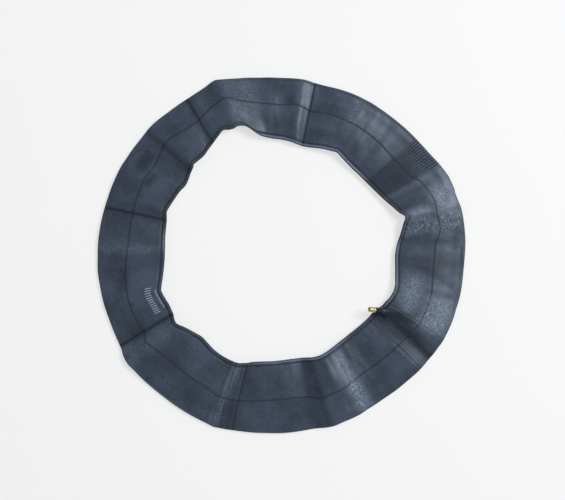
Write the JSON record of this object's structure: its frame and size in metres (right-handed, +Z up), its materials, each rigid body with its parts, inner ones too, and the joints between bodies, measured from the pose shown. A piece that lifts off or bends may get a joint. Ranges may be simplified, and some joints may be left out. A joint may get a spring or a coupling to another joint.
{
  "type": "bicycle inner tube",
  "caption": "Wide butyl inner tube lying flat and deflated as a creased closed ring, with a short rubber-covered automobile-type air valve pointing into the middle.",
  "frame": {"origin": "on the floor, under the middle of the flattened ring's length and width", "axes": "+Z up, the ring lies flat on XY; the valve sits toward +X and a little toward -Y and points back over the hole"},
  "size_m": [0.5516, 0.5333, 0.0325],
  "materials": {
    "tube_rubber": "satin moulded butyl, scuffed, with talc haze",
    "valve_rubber": "satin moulded rubber",
    "stem_brass": "turned brass, slightly dulled",
    "core_brass": "turned brass",
    "gasket": "matt moulded seal",
    "pin_brass": "drawn brass",
    "spring_steel": "spring wire"
  },
  "bodies": {
    "tube": {"tube_body": "tube_rubber", "valve_base": "valve_rubber", "valve_stem": "stem_brass"},
    "core_housing": {"core_barrel": "core_brass", "core_gasket": "gasket", "core_spring": "spring_steel"},
    "core_plug": {"core_plug": "core_brass"},
    "core_pin": {"core_pin": "pin_brass", "plunger_cup": "core_brass", "plunger_seal": "gasket"}
  },
  "joints": [
    {"name": "core_lift", "type": "slide", "parent": "tube", "child": "core_housing", "axis": [-0.7439, 0.1272, 0.6561], "range_m": [0, 0.00493]},
    {"name": "core_unscrew", "type": "hinge", "parent": "core_housing", "child": "core_plug", "pos_m": [0.13346, -0.08023, 0.02651], "axis": [-0.7439, 0.1272, 0.6561], "range_deg": [0, 2520]},
    {"name": "valve_pin_press", "type": "slide", "parent": "core_housing", "child": "core_pin", "axis": [0.7439, -0.1272, -0.6561], "range_m": [0, 0.0018], "stiffness_N_per_m": 1500, "springref_m": -0.001, "deforming": ["core_spring"]}
  ],
  "couplings": [
    {"joint": "core_unscrew", "follows": "core_lift", "rad_per_m": 8904.7}
  ]
}
